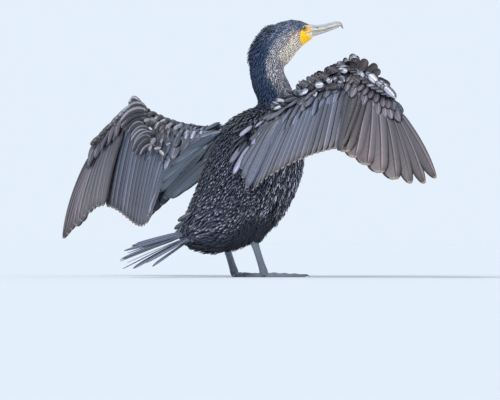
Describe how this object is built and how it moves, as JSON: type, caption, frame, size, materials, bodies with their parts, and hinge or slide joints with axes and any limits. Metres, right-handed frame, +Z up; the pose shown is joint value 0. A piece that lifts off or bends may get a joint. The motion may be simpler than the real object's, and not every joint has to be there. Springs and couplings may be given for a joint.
{
  "type": "cormorant figure",
  "caption": "Still, life-size museum figure of a great cormorant standing on webbed feet with its wings held out to dry and its head turned to its right.",
  "frame": {"origin": "on the floor, midway between the soles of the two feet", "axes": "+Z up, the bird's body faces -Y, and its left wing reaches out along +X"},
  "size_m": [1.1449, 0.4923, 0.5153],
  "materials": {
    "plumage": "satin",
    "flight_feather": "satin",
    "bill_horn": "semi gloss",
    "eye": "gloss",
    "leg_skin": "satin"
  },
  "bodies": {
    "root": {"torso": "plumage", "neck": "plumage", "head": "plumage", "bill_upper": "bill_horn", "bill_lower": "bill_horn", "eye_left": "eye", "eye_right": "eye", "tail": "flight_feather", "wing_left_arm": "flight_feather", "wing_left_hand": "flight_feather", "wing_right_arm": "flight_feather", "wing_right_hand": "flight_feather", "thigh_left": "plumage", "thigh_right": "plumage", "shank_left": "leg_skin", "shank_right": "leg_skin", "foot_left": "leg_skin", "foot_right": "leg_skin"}
  },
  "joints": []
}
